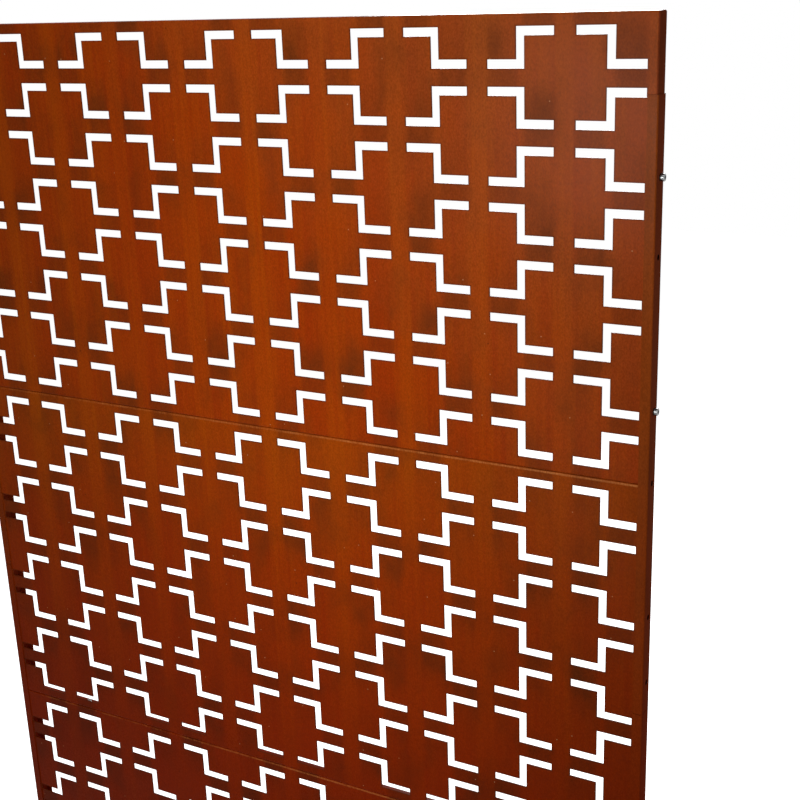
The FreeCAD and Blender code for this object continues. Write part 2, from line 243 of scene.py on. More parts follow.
@dataclass(frozen=True)
class SlotLattice:
    """Where a panel's stepped slots are.

    Cells hang in columns, one at each multiple of column_pitch from the panel's middle, and a cell of one
    column stands between two cells of the next. row_start is how high the lowest row's middle is.
    """

    row_start: float
    column_pitch: float = 120.0
    row_pitch: float = 74.0
    slot_width: float = 11.2
    column_width: float = 29.0
    row_width: float = 22.6

    def chart(
        self, tree: bpy.types.NodeTree, place: bpy.types.Node
    ) -> tuple[bpy.types.Node, bpy.types.Node, bpy.types.Node]:
        """Adds a chart of the lattice.

        Args:
            tree: The material's nodes.
            place: A point of the surface, in millimetres.

        Returns:
            Nodes for the distance aside from the column's middle, the height above the cell's middle and
            the distance from the slots' middle lines.
        """
        axes = add(tree, "ShaderNodeSeparateXYZ", [place])
        half_column = self.column_pitch / 2
        aside = add(tree, "ShaderNodeMath", [axes.outputs["X"], half_column], operation="PINGPONG")
        column = add(tree, "ShaderNodeMath", [axes.outputs["X"], self.column_pitch], operation="DIVIDE")
        column = add(tree, "ShaderNodeMath", [column], operation="ROUND")
        up = add(tree, "ShaderNodeMath", [axes.outputs["Z"], self.row_start], operation="SUBTRACT")
        up = add(tree, "ShaderNodeMath", [column, self.row_pitch, up], operation="MULTIPLY_ADD")
        up = add(tree, "ShaderNodeMath", [up, 2 * self.row_pitch], operation="FLOORED_MODULO")
        up = add(tree, "ShaderNodeMath", [up, self.row_pitch], operation="SUBTRACT")

        # A slot runs in from beside its column, then turns along the line midway to the next column
        run_start = (self.column_width + self.slot_width) / 2
        turn_end = (self.row_width + self.slot_width) / 2
        run_height = self.row_pitch - turn_end
        off = add(tree, "ShaderNodeMath", [up], operation="ABSOLUTE")
        beside = add(tree, "ShaderNodeMath", [run_start, aside], operation="SUBTRACT")
        beyond = add(tree, "ShaderNodeMath", [off, run_height], operation="SUBTRACT")
        from_run = add(tree, "ShaderNodeMath", [beyond], operation="ABSOLUTE")
        from_run = add(tree, "ShaderNodeMath", [from_run, beside], operation="MAXIMUM")
        inside = add(tree, "ShaderNodeMath", [half_column, aside], operation="SUBTRACT")
        below = add(tree, "ShaderNodeMath", [turn_end, off], operation="SUBTRACT")
        from_turn = add(tree, "ShaderNodeMath", [inside, below], operation="MAXIMUM")
        from_turn = add(tree, "ShaderNodeMath", [from_turn, beyond], operation="MAXIMUM")
        return aside, up, add(tree, "ShaderNodeMath", [from_run, from_turn], operation="MINIMUM")


@dataclass(frozen=True)
class SheetChart:
    """What the rust on a sheet follows: where a point is, in millimetres, and mottled patterns."""

    tree: bpy.types.NodeTree
    place: bpy.types.Node
    along: bpy.types.NodeSocket
    height: bpy.types.NodeSocket
    streak: bpy.types.Node
    band: bpy.types.Node
    stain: bpy.types.Node
    grain: bpy.types.Node
    wander: bpy.types.Node


@dataclass(frozen=True)
class RustedSteel(Finish):
    """Weathering steel sheet, rusted wet and then sealed with wax.

    A span is where a change starts and where it is complete. A share is how much of a colour is laid there.
    A shift is how far a pattern moves a border, from one extreme to the other.
    """

    # The eye sees orange rust where water ran down unbroken steel, browner rust where it hung above the
    # slots and on the bridges between them, darker cut edges, upright streaks, a few flecks and pits, fine
    # grain and a dull waxy sheen. Painted shade makes the rust darker and redder near the ground, a painted
    # greyish sheen lies towards one upper corner, the bend along the upper edge is rubbed and carries a
    # painted highlight, the unwaxed sides are greyer and painted shade makes empty holes black.
    name: str = "rusted_weathering_steel"
    seed: float = 0.0
    orange: str = "#9a4205"
    red_brown: str = "#8a2d05"
    brown: str = "#5a280c"
    edge_brown: str = "#4a1e07"
    ochre: str = "#925508"
    # Painted greyish sheen, standing in for a lamp's reflection
    painted_sheen_tint: str = "#92592a"
    bare: str = "#75331b"
    # Painted shade near the ground: darker, redder rust
    low_shade_red: str = "#741900"
    low_shade_brown: str = "#4c1804"
    # Painted shade in the empty holes
    hole_shade_black: str = "#0c0504"
    # Rubbed wear with a painted highlight
    rubbed_highlight: str = "#b06a35"
    pale: str = "#c79d70"
    dark: str = "#3a1608"
    streak: Mottle = Mottle(6.0, 260.0)
    band: Mottle = Mottle(50.0, 900.0, 2.0)
    stain: Mottle = Mottle(60.0, 90.0, 4.0)
    # Real rust grains are about a tenth of this, too fine to show
    grain: Mottle = Mottle(1.8, 3.0)
    wander: Mottle = Mottle(25.0, 50.0)
    flecks: Specks = Specks(60.0, 1.1, 0.3)
    pits: Specks = Specks(85.0, 1.8, 0.2)
    pit_seed: float = 50.0
    # How orange the sheet is on the whole, and how brown its stains are
    evenness: float = 0.4
    stain_span: Span = (0.0, 0.25)
    stain_brown: float = 0.4
    # How much browner it gets from its middle to its right end
    end_brown: float = 0.0
    end_span: Span = (0.0, 600.0)
    end_shift: float = 600.0
    # The slots, with one for a sheet that hangs as it rusted and minus one for a sheet turned over since
    lattice: SlotLattice | None = None
    hung: int = 1
    # Half of the strips of unbroken steel between slots, and how much less orange the rest is
    strip_span: Span = (8.0, 21.0)
    strip_shift: float = 14.0
    strip_loss: float = 0.2
    # Heights in a cell where water hung above its slots, and how brown that is in clean and in dirty spots
    lip_span: Span = (25.0, -55.0)
    lip_shift: float = 30.0
    lip_stain_span: Span = (-0.15, 0.15)
    lip_brown: tuple[float, float] = (0.1, 0.45)
    # The bridges: their heights in a cell, their ends beside a column and how brown they are
    bridge_span: Span = (54.0, 62.0)
    bridge_end_span: Span = (62.0, 48.0)
    bridge_brown: float = 0.3
    # The cut edges, from a slot's middle line
    edge_span: Span = (5.8, 8.0)
    edge_share: float = 0.6
    # How much painted greyish sheen, standing in for a lamp's reflection, the sheet gets towards its upper
    # right corner, where a rise counts more than a run
    corner_sheen: float = 0.0
    corner_span: Span = (1800.0, 2600.0)
    corner_rise: float = 1.2
    # How much yellower it gets towards its upper edge, and from how far below that
    upper_edge: float = 0.0
    top_ochre: float = 0.0
    top_ochre_reach: float = 230.0
    top_ochre_shift: float = 250.0
    # How pale the bend along the upper edge is drawn, as rubbed wear with a painted highlight, mostly at its
    # right end
    wear_and_highlight: float = 0.0
    bend_drop: float = 2.4
    bend_span: Span = (0.8, 1.8)
    highlight_run: float = 700.0
    # Painted shade: the rust is drawn darker and redder below these heights, standing in for the lamps' light
    # falling off towards the ground
    low_shade_span: Span = (516.0, 1290.0)
    low_shade_share: float = 0.8
    # The sides beyond this distance from the middle were never waxed
    waxed_half: float = 598.0
    wax_fade: float = 1.0
    # Heights of the empty holes through the sheet's sides, where painted shade blackens them and how far
    # round their middles
    bores: tuple[float, ...] = ()
    hole_shade_side_span: Span = (595.0, 597.0)
    hole_shade_span: Span = (3.6, 4.4)
    hole_shade_share: float = 0.95
    sheen: float = 0.015
    waxed_roughness: float = 0.27
    stain_roughness: float = 0.25
    grain_roughness: float = 0.2
    grain_shade: float = 0.9
    grain_height: float = 0.1
    streak_relief: float = 0.5
    relief_strength: float = 0.6

    def paint(
        self, tree: bpy.types.NodeTree, place: bpy.types.Node, shader: bpy.types.Node
    ) -> dict[str, bpy.types.Node]:
        """Draws streaks, stains, grain and painted light, and sets a weak sheen.

        Args:
            tree: The material's nodes.
            place: A point of the surface, in millimetres.
            shader: The material's shader.

        Returns:
            Nodes for colour, roughness and the surface's fine relief.
        """
        shader.inputs["Specular IOR Level"].default_value = self.sheen
        axes = add(tree, "ShaderNodeSeparateXYZ", [place])
        patterns = (self.streak, self.band, self.stain, self.grain, self.wander)
        drawn = (pattern.draw(tree, place, self.seed + number) for number, pattern in enumerate(patterns))
        sheet = SheetChart(tree, place, axes.outputs["X"], axes.outputs["Z"], *drawn)
        aside = add(tree, "ShaderNodeMath", [sheet.along], operation="ABSOLUTE")
        bare = add(tree, "ShaderNodeMapRange", [aside, self.waxed_half - self.wax_fade, self.waxed_half])

        # Each layer is a mask with the colour that it lays over the ones before
        wet, stains_and_painted_light = self.stain_and_painted_light_layers(sheet, bare)
        rust = add(
            tree, "ShaderNodeMix",
            {0: wet, 6: linear(self.red_brown), 7: linear(self.orange)},
            data_type="RGBA",
        )
        for mask, colour in stains_and_painted_light:
            rust = add(tree, "ShaderNodeMix", {0: mask, 6: rust, 7: colour}, data_type="RGBA")
        shade = weighed(tree, 1.0, (sheet.grain, self.grain_shade))
        rust = add(tree, "ShaderNodeVectorMath", {0: rust, "Scale": shade}, operation="SCALE")
        for mask, colour in self.dirt_and_shade_layers(sheet, aside):
            rust = add(tree, "ShaderNodeMix", {0: mask, 6: rust, 7: colour}, data_type="RGBA")

        rough = weighed(
            tree, self.waxed_roughness, (bare, 1 - self.waxed_roughness),
            (sheet.stain, self.stain_roughness), (sheet.grain, self.grain_roughness),
        )
        relief = weighed(tree, 0.0, (sheet.streak, self.streak_relief), (sheet.grain, 1.0))
        bump = add(
            tree, "ShaderNodeBump",
            {"Strength": self.relief_strength, "Distance": self.grain_height * MM, "Height": relief},
        )
        return {"Base Color": rust, "Roughness": rough, "Normal": bump}

    def stain_and_painted_light_layers(
        self, sheet: SheetChart, bare: bpy.types.Node
    ) -> tuple[bpy.types.Node, list[tuple[bpy.types.Node, Colour | bpy.types.Node]]]:
        """Draws how water and weather stained the sheet, and painted sheen, shade and highlight.

        Args:
            sheet: What the stains follow.
            bare: A mask of the sides that were never waxed.

        Returns:
            A node for how orange the rust is, and the layers over it, the lowest first.
        """
        tree = sheet.tree
        wet = weighed(tree, self.evenness, (sheet.streak, 1.0), (sheet.band, 1.0))
        along = weighed(tree, sheet.along, (sheet.stain, self.end_shift))
        end = add(tree, "ShaderNodeMapRange", [along, *self.end_span, 0.0, self.end_brown])
        damp = add(tree, "ShaderNodeMapRange", [sheet.stain, *self.stain_span, 0.0, self.stain_brown])
        damp = weighed(tree, damp, (end, 1.0))
        # Painted shade: rust gets darker and redder towards the ground, standing in for the lamps' light
        # falling off
        low_shade = add(
            tree, "ShaderNodeMapRange",
            [sheet.height, *self.low_shade_span, self.low_shade_share, 0.0],
            interpolation_type="SMOOTHSTEP",
        )
        damp_brown_with_low_shade = add(
            tree, "ShaderNodeMix",
            {0: low_shade, 6: linear(self.brown), 7: linear(self.low_shade_brown)},
            data_type="RGBA",
        )
        # Painted greyish sheen towards the upper right corner, standing in for a lamp's reflection
        corner = weighed(tree, along, (sheet.height, self.corner_rise))
        sheen_patch = add(tree, "ShaderNodeMapRange", [corner, *self.corner_span, 0.0, self.corner_sheen])
        layers = [(sheen_patch, linear(self.painted_sheen_tint))]
        if self.top_ochre:
            upwards = weighed(tree, sheet.height, (sheet.stain, self.top_ochre_shift))
            start = self.upper_edge - self.top_ochre_reach
            yellow = add(tree, "ShaderNodeMapRange", [upwards, start, self.upper_edge, 0.0, self.top_ochre])
            layers.append((yellow, linear(self.ochre)))
        layers += [(bare, linear(self.bare)), (low_shade, linear(self.low_shade_red))]
        if self.lattice:
            off_strip, browned, edge = self.slot_masks(sheet)
            wet = weighed(tree, wet, (off_strip, -self.strip_loss))
            damp = add(tree, "ShaderNodeMath", [browned, off_strip, damp], operation="MULTIPLY_ADD")
            layers += [(damp, damp_brown_with_low_shade), (edge, linear(self.edge_brown))]
        else:
            layers.append((damp, damp_brown_with_low_shade))
        # Rubbed wear on the upper bend, with a painted highlight that grows towards the right end
        if self.wear_and_highlight:
            layers.append((self.wear_and_highlight_mask(sheet), linear(self.rubbed_highlight)))
        return wet, layers

    def slot_masks(self, sheet: SheetChart) -> tuple[bpy.types.Node, bpy.types.Node, bpy.types.Node]:
        """Draws what the slots did to the rust round them.

        Args:
            sheet: What the rust follows.

        Returns:
            Masks of what is off the unbroken strips, of brown above slots and on bridges, and of cut edges.
        """
        tree = sheet.tree
        aside, up, slot = self.lattice.chart(tree, sheet.place)
        aside = weighed(tree, aside, (sheet.wander, self.strip_shift))
        off_strip = add(
            tree, "ShaderNodeMapRange",
            [aside, *self.strip_span, 0.0, 1.0],
            interpolation_type="SMOOTHSTEP",
        )
        above = add(tree, "ShaderNodeMath", [up, self.hung], operation="MULTIPLY")
        above = weighed(tree, above, (sheet.wander, self.lip_shift))
        hanging = add(tree, "ShaderNodeMapRange", [sheet.stain, *self.lip_stain_span, *self.lip_brown])
        lip = add(
            tree, "ShaderNodeMapRange",
            [above, *self.lip_span, 0.0, hanging],
            interpolation_type="SMOOTHSTEP",
        )
        off = add(tree, "ShaderNodeMath", [up], operation="ABSOLUTE")
        on_bridge = add(
            tree, "ShaderNodeMapRange",
            [off, *self.bridge_span, 0.0, 1.0],
            interpolation_type="SMOOTHSTEP",
        )
        bridge = add(
            tree, "ShaderNodeMapRange",
            [aside, *self.bridge_end_span, 0.0, self.bridge_brown],
            interpolation_type="SMOOTHSTEP",
        )
        browned = add(tree, "ShaderNodeMix", {0: on_bridge, 2: lip, 3: bridge})
        edge = add(tree, "ShaderNodeMapRange", [slot, *self.edge_span, self.edge_share, 0.0])
        return off_strip, browned, edge

    def wear_and_highlight_mask(self, sheet: SheetChart) -> bpy.types.Node:
        """Draws where the bend along the upper edge is rubbed and carries a painted highlight.

        Args:
            sheet: What the wear follows.

        Returns:
            A mask of the rubbed patches with their painted highlight.
        """
        tree = sheet.tree
        patchy = weighed(
            tree, self.wear_and_highlight,
            (sheet.along, self.wear_and_highlight / self.highlight_run), (sheet.wander, 1.0), (sheet.grain, 1.0),
        )
        bend = self.upper_edge - self.bend_drop
        off = add(tree, "ShaderNodeMath", [sheet.height, bend], operation="SUBTRACT")
        off = add(tree, "ShaderNodeMath", [off], operation="ABSOLUTE")
        return add(tree, "ShaderNodeMapRange", [off, *self.bend_span, patchy, 0.0])

    def dirt_and_shade_layers(self, sheet: SheetChart, aside: bpy.types.Node) -> list[tuple[bpy.types.Node, Colour]]:
        """Draws pits and flecks, and painted shade in the empty holes.

        Args:
            sheet: What the dirt and the painted shade follow.
            aside: The distance from the sheet's middle, in millimetres.

        Returns:
            The layers over the rust, the lowest first.
        """
        tree = sheet.tree
        layers = [
            (self.pits.draw(tree, sheet.place, self.seed + self.pit_seed), linear(self.dark)),
            (self.flecks.draw(tree, sheet.place, self.seed), linear(self.pale)),
        ]
        # Painted shade: the sides are blackened round the empty holes, where the recess lies in shade
        thick = add(tree, "ShaderNodeMapRange", [aside, *self.hole_shade_side_span, 0.0, self.hole_shade_share])
        flat = add(tree, "ShaderNodeVectorMath", [sheet.place, (0.0, 1.0, 1.0)], operation="MULTIPLY")
        for height in self.bores:
            away = add(tree, "ShaderNodeVectorMath", [flat, (0.0, 0.0, height)], operation="DISTANCE")
            hole_shade = add(tree, "ShaderNodeMapRange", [away, *self.hole_shade_span, thick, 0.0])
            layers.append((hole_shade, linear(self.hole_shade_black)))
        return layers


@dataclass(frozen=True)
class ZincPlate(Finish):
    """Steel fasteners with a bright zinc plating."""

    # The eye sees a pale grey metal with soft highlights and slightly cloudy patches.
    name: str = "bright_zinc_plated_steel"
    pale: str = "#979896"
    cloudy: str = "#5e6163"
    cloud: Mottle = Mottle(2.5, 2.5)
    cloud_share: float = 0.5
    cloud_contrast: float = 2.0
    roughness: float = 0.24
    cloud_roughness: float = 0.3

    def paint(
        self, tree: bpy.types.NodeTree, place: bpy.types.Node, shader: bpy.types.Node
    ) -> dict[str, bpy.types.Node]:
        """Draws cloudy patches on bright metal.

        Args:
            tree: The material's nodes.
            place: A point of the surface, in millimetres.
            shader: The material's shader.

        Returns:
            Nodes for colour and roughness.
        """
        shader.inputs["Metallic"].default_value = 1.0
        cloud = self.cloud.draw(tree, place, 0.0)
        share = weighed(tree, self.cloud_share, (cloud, self.cloud_contrast))
        tint = add(
            tree, "ShaderNodeMix",
            {0: share, 6: linear(self.pale), 7: linear(self.cloudy)},
            data_type="RGBA",
        )
        rough = weighed(tree, self.roughness, (cloud, self.cloud_roughness))
        return {"Base Color": tint, "Roughness": rough}


def dress(node: str, material: bpy.types.Material) -> None:
    """Gives one of the frame's nodes its finish.

    Args:
        node: The node's name.
        material: What its slots get.
    """
    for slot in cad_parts[node].material_slots:
        slot.material = material
    log.info("%s: dressed in %s", node, material.name)


def seat(
    name: str, shape: bmesh.types.BMesh, material: bpy.types.Material, crease: float = 35.0
) -> bpy.types.Object:
    """Turns a finished shape into a piece of the screen.

    Args:
        name: The piece's name.
        shape: Its mesh, in metres and in the screen's frame, which is used up.
        material: Its finish.
        crease: Edges that turn by more than this many degrees stay sharp.

    Returns:
        The piece, riding on the screen.
    """
    bmesh.ops.recalc_face_normals(shape, faces=shape.faces)
    mesh = bpy.data.meshes.new(name)
    shape.to_mesh(mesh)
    shape.free()
    mesh.shade_smooth()
    mesh.set_sharp_from_angle(angle=math.radians(crease))
    mesh.materials.append(material)
    piece = bpy.data.objects.new(name, mesh)
    bpy.context.scene.collection.objects.link(piece)
    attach(piece, BODY)
    log.info("%s: %d faces in %s", name, len(mesh.polygons), material.name)
    return piece


@dataclass(frozen=True)
class Ring:
    """One ring of a turned piece, which may also be cut to a hexagon or by a thread."""

    height: float
    radius: float
    flats: float = math.inf
    thread: float = 0.0
    pitch: float = 1.0

    def reach(self, angle: float) -> float:
        """Gives the ring's distance from the axis.

        Args:
            angle: The way out from the axis, in radians from the middle of a flat.

        Returns:
            The distance to the surface.
        """
        off_flat = (angle + math.pi / 6) % (math.pi / 3) - math.pi / 6
        turn = (self.height / self.pitch - angle / math.tau) % 1
        groove = self.thread * abs(2 * turn - 1)
        return min(self.radius - groove, self.flats / 2 / math.cos(off_flat))


class Facing(Enum):
    """Which way a row's heads face, and which way the row runs."""

    RIGHT = ((1, 0, 0), (0, 0, 1))
    LEFT = ((-1, 0, 0), (0, 0, 1))
    UP = ((0, 0, 1), (1, 0, 0))


@dataclass(frozen=True)
class FastenerRow(ABC):
    """A row of alike fasteners that stands for one of the frame's nodes."""

    node: str
    count: int
    facing: Facing
    steps: int = 48

    @property
    @abstractmethod
    def head_height(self) -> float:
        """How far a fastener stands out from the face that it is tightened against."""

    @property
    @abstractmethod
    def half_width(self) -> float:
        """Half the widest size of a fastener along its row."""

    @abstractmethod
    def rings(self, depth: float) -> list[Ring]:
        """Lists a fastener's rings, from the face that it is tightened against.

        Args:
            depth: How far it reaches behind that face.

        Returns:
            Rings in their order over its surface.
        """

    @property
    def closed(self) -> bool:
        """Whether the rings come back to the first one, as round a bore."""
        return False

    def build(self, material: bpy.types.Material) -> None:
        """Builds the row where its node is.

        Args:
            material: The row's finish.
        """
        out, run = (Vector(way) for way in self.facing.value)
        side = out.cross(run)
        low, high = (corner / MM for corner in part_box(self.node))
        outermost = max(low.dot(out), high.dot(out))
        depth = abs((high - low).dot(out)) - self.head_height
        first = low.dot(run) + self.half_width
        last = high.dot(run) - self.half_width
        middle = (low + high).dot(side) / 2
        turned = Matrix((run, side, out)).transposed().to_4x4()
        shape = bmesh.new()
        for number in range(self.count):
            along = first + (last - first) * number / (self.count - 1)
            origin = out * (outermost - self.head_height) + run * along + side * middle
            place = Matrix.Scale(MM, 4) @ Matrix.Translation(origin) @ turned
            self.turn_one(shape, self.rings(depth), place)
        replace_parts(seat(f"{self.node}_finished", shape, material), self.node)

    def turn_one(self, shape: bmesh.types.BMesh, rings: list[Ring], place: Matrix) -> None:
        """Adds one fastener.

        Args:
            shape: The mesh that gets it.
            rings: Its rings in their order.
            place: From the fastener's own millimetres to the screen's metres.
        """
        angles = [math.tau * step / self.steps for step in range(self.steps)]
        loops = []
        for ring in rings:
            loop = []
            for angle in angles:
                reach = ring.reach(angle)
                point = Vector((reach * math.cos(angle), reach * math.sin(angle), ring.height))
                loop.append(shape.verts.new(place @ point))
            loops.append(loop)
        pairs = list(zip(loops, loops[1:]))
        if self.closed:
            pairs.append((loops[-1], loops[0]))
        else:
            shape.faces.new(loops[0])
            shape.faces.new(loops[-1])
        for upper, lower in pairs:
            for step in range(self.steps):
                after = (step + 1) % self.steps
                shape.faces.new((upper[step], upper[after], lower[after], lower[step]))


@dataclass(frozen=True)
class Shank:
    """A threaded shank with a chamfered end."""

    radius: float = 3.0
    groove: float = 0.45
    pitch: float = 1.0
    threaded: float = 9.0
    chamfer: float = 0.7
    rings_per_turn: int = 4

    def rings(self, depth: float) -> list[Ring]:
        """Lists the shank's rings, from the head down.

        Args:
            depth: The shank's length.

        Returns:
            Rings down to its end.
        """
        length = self.threaded - self.chamfer
        steps = round(self.rings_per_turn * length / self.pitch)
        start = -depth + self.threaded
        cut = []
        for step in range(steps + 1):
            groove = self.groove * min(1.0, step / self.rings_per_turn)
            cut.append(Ring(start - length * step / steps, self.radius, thread=groove, pitch=self.pitch))
        return [Ring(0.0, self.radius), *cut, Ring(-depth, self.radius - self.chamfer)]


@dataclass(frozen=True)
class CapScrewRow(FastenerRow):
    """Cap-head screws with a hexagon socket."""

    head: float = 6.0
    width: float = 10.0
    rounding: float = 0.8
    socket: float = 5.0
    socket_depth: float = 3.0
    socket_chamfer: float = 0.25
    socket_rim: float = 0.1
    drill_point: float = 0.4
    underside: float = 0.2
    arc_steps: int = 6
    shank: Shank = Shank()

    @property
    def head_height(self) -> float:
        """The cap's height."""
        return self.head

    @property
    def half_width(self) -> float:
        """Half the cap's width."""
        return self.width / 2

    def rings(self, depth: float) -> list[Ring]:
        """Lists the socket, the cap and the shank.

        Args:
            depth: The shank's length.

        Returns:
            Rings from the socket's floor to the shank's end.
        """
        crown = self.half_width - self.rounding
        shoulder = self.head - self.rounding
        floor = self.head - self.socket_depth
        corner = self.socket / 2 / math.cos(math.pi / 6)
        arc = [math.pi / 2 * step / self.arc_steps for step in range(self.arc_steps + 1)]
        cap = [
            Ring(shoulder + self.rounding * math.cos(turn), crown + self.rounding * math.sin(turn))
            for turn in arc
        ]
        return [
            Ring(floor - self.drill_point, self.drill_point),
            Ring(floor, corner, self.socket),
            Ring(self.head - self.socket_chamfer, corner, self.socket),
            Ring(self.head, corner + self.socket_rim),
            *cap,
            Ring(self.underside, self.half_width),
            Ring(0.0, self.half_width - self.underside),
            *self.shank.rings(depth),
        ]


@dataclass(frozen=True)
class HexBoltRow(FastenerRow):
    """Hexagon-head bolts."""

    head: float = 4.0
    flats: float = 10.0
    chamfer: float = 0.45
    washer_face: float = 0.2
    # How far inside the flats the rims of the top and the washer face are, and how wide the top's middle is
    rim: float = 0.2
    top_share: float = 0.6
    shank: Shank = Shank()

    @property
    def head_height(self) -> float:
        """The hexagon's height."""
        return self.head

    @property
    def half_width(self) -> float:
        """Half the width across flats, as the flats face along the row."""
        return self.flats / 2

    def rings(self, depth: float) -> list[Ring]:
        """Lists the hexagon and the shank.

        Args:
            depth: The shank's length.

        Returns:
            Rings from the head's top to the shank's end.
        """
        inner = self.flats / 2
        corner = inner / math.cos(math.pi / 6)
        rim = inner - self.rim
        slope = [
            Ring(self.head - self.chamfer * share, rim + (corner - rim) * share, self.flats)
            for share in CHAMFER_SHARES
        ]
        return [
            Ring(self.head, self.top_share * inner),
            *slope,
            Ring(self.washer_face, corner, self.flats),
            Ring(self.washer_face, rim),
            Ring(0.0, rim),
            *self.shank.rings(depth),
        ]


@dataclass(frozen=True)
class FlangeNutRow(FastenerRow):
    """Hexagon nuts with a flange."""

    width: float = 13.0
    flange: float = 1.5
    flats: float = 10.0
    bore: float = 6.1
    chamfer: float = 0.5
    # How far inside the flats the end's rim is
    rim: float = 0.2
    # The flange's edge: how far it goes in and under, and the shares of its height where it bends
    flange_edge: float = 0.25
    flange_under: float = 0.2
    flange_upright: float = 0.55
    flange_slope: float = 0.75
    flange_fillet: float = 0.1
    # The frame's round flanges have facets, which make them this much narrower along a row
    facet_loss: float = 0.01

    @property
    def head_height(self) -> float:
        """A nut lies wholly behind the face that it is tightened against."""
        return 0.0

    @property
    def half_width(self) -> float:
        """Half the flange's width."""
        return self.width / 2 - self.facet_loss

    @property
    def closed(self) -> bool:
        """The surface goes on through the bore."""
        return True

    def rings(self, depth: float) -> list[Ring]:
        """Lists the flange, the hexagon and the bore.

        Args:
            depth: The nut's height.

        Returns:
            Rings from the flange's face round to its bore.
        """
        inner = self.flats / 2
        corner = inner / math.cos(math.pi / 6)
        wide = self.width / 2
        bore = self.bore / 2
        rim = inner - self.rim
        slope = [
            Ring(-depth + self.chamfer * (1 - share), corner + (rim - corner) * share, self.flats)
            for share in CHAMFER_SHARES
        ]
        return [
            Ring(0.0, wide - self.flange_edge),
            Ring(-self.flange_under, wide),
            Ring(-self.flange_upright * self.flange, wide),
            Ring(-self.flange_slope * self.flange, wide - self.flange_edge),
            Ring(-self.flange, corner + self.flange_fillet),
            Ring(-self.flange, corner, self.flats),
            *slope,
            Ring(-depth, bore + self.chamfer),
            Ring(-depth + self.chamfer, bore),
            Ring(-self.chamfer, bore),
            Ring(0.0, bore + self.chamfer),
        ]


@dataclass(frozen=True)
class WeldBead:
    """A fillet weld along the joint of a foot's upright and base plate."""

    name: str
    # Where the joint's corner is: how far out and up, which way out is right or left, and the weld's length
    out: float
    up: float
    sign: int
    length: float
    leg: float = 4.2
    ripple: float = 0.3
    pitch: float = 2.6
    bow: float = 1.6
    sunk: float = 0.4
    # How much steeper a ripple's front is than its back, how blunt the ends are and which edges stay sharp
    skew: float = 1.5
    blunt: float = 0.05
    crease: float = 60.0
    arc_steps: int = 12
    steps_per_ripple: int = 6

    def build(self, material: bpy.types.Material) -> None:
        """Builds the bead.

        Args:
            material: Its finish.
        """
        shape = bmesh.new()
        steps = round(self.length / self.pitch) * self.steps_per_ripple
        loops = []
        for step in range(steps + 1):
            along = self.length * (step / steps - 0.5)
            corner = Vector((self.sign * (self.out - self.sunk), along, self.up - self.sunk)) * MM
            loop = [shape.verts.new(corner)]
            for turn in range(self.arc_steps + 1):
                angle = math.pi / 2 * turn / self.arc_steps
                reach = self.reach(along, angle)
                offset = Vector((self.sign * reach * math.cos(angle), 0, reach * math.sin(angle))) * MM
                loop.append(shape.verts.new(corner + offset))
            loops.append(loop)
        shape.faces.new(loops[0])
        shape.faces.new(loops[-1])
        for here, there in zip(loops, loops[1:]):
            for turn, _ in enumerate(here):
                after = (turn + 1) % len(here)
                shape.faces.new((here[turn], here[after], there[after], there[turn]))
        seat(self.name, shape, material, self.crease)

    def reach(self, along: float, angle: float) -> float:
        """Gives the bead's thickness at a place.

        Args:
            along: How far from the weld's middle.
            angle: Which way out from the joint's corner, in radians above the plate.

        Returns:
            The distance from the corner to the bead's skin.
        """
        behind = along + self.bow * math.cos(2 * angle - math.pi / 2)
        wave = (math.cos(math.tau * (behind / self.pitch % 1) ** self.skew) - 1) / 2
        left = max(0.0, self.length / 2 - abs(along))
        taper = math.sqrt(min(1.0, self.blunt + left / self.leg))
        return (self.leg + self.sunk + self.ripple * wave) * taper


def seen_ray(tree: bpy.types.NodeTree) -> bpy.types.Node:
    """Adds a test for the rays that show the surround, straight, mirrored or through glass.

    Args:
        tree: The nodes of the surround or the floor.

    Returns:
        A node that is one for such a ray.
    """
    path = add(tree, "ShaderNodeLightPath")
    seen = path.outputs["Is Camera Ray"]
    for kind in ("Is Glossy Ray", "Is Transmission Ray"):
        seen = add(tree, "ShaderNodeMath", [seen, path.outputs[kind]], operation="MAXIMUM")
    return seen


@dataclass(frozen=True)
class Floor:
    """A plain pale floor that the screen stands on."""

    span: float = 16000.0
    colour: str = "#d8d8d6"
    # The eye sees it nearly white by itself, and darker by as much as a shadow takes off this share
    glow: float = 0.85
    shadow_share: float = 1.0

    def build(self) -> None:
        """Lays the floor."""
        half = self.span * MM / 2
        mesh = bpy.data.meshes.new("floor")
        mesh.from_pydata(
            [(-half, -half, 0), (half, -half, 0), (half, half, 0), (-half, half, 0)], [], [(0, 1, 2, 3)]
        )
        floor = bpy.data.objects.new("floor", mesh)
        bpy.context.scene.collection.objects.link(floor)
        material = bpy.data.materials.new("pale_floor_paint")
        mesh.materials.append(material)
        material.use_nodes = True
        tree = material.node_tree
        tree.nodes.clear()
        paint = add(tree, "ShaderNodeBsdfDiffuse", {"Color": linear(self.colour)})
        grey = (self.shadow_share, self.shadow_share, self.shadow_share, 1.0)
        shaded = add(tree, "ShaderNodeBsdfDiffuse", {"Color": grey})
        glow = add(tree, "ShaderNodeEmission", {"Color": linear(WHITE), "Strength": self.glow})
        shown = add(tree, "ShaderNodeAddShader", [shaded, glow])
        mixed = add(tree, "ShaderNodeMixShader", [seen_ray(tree), paint, shown])
        add(tree, "ShaderNodeOutputMaterial", {"Surface": mixed})


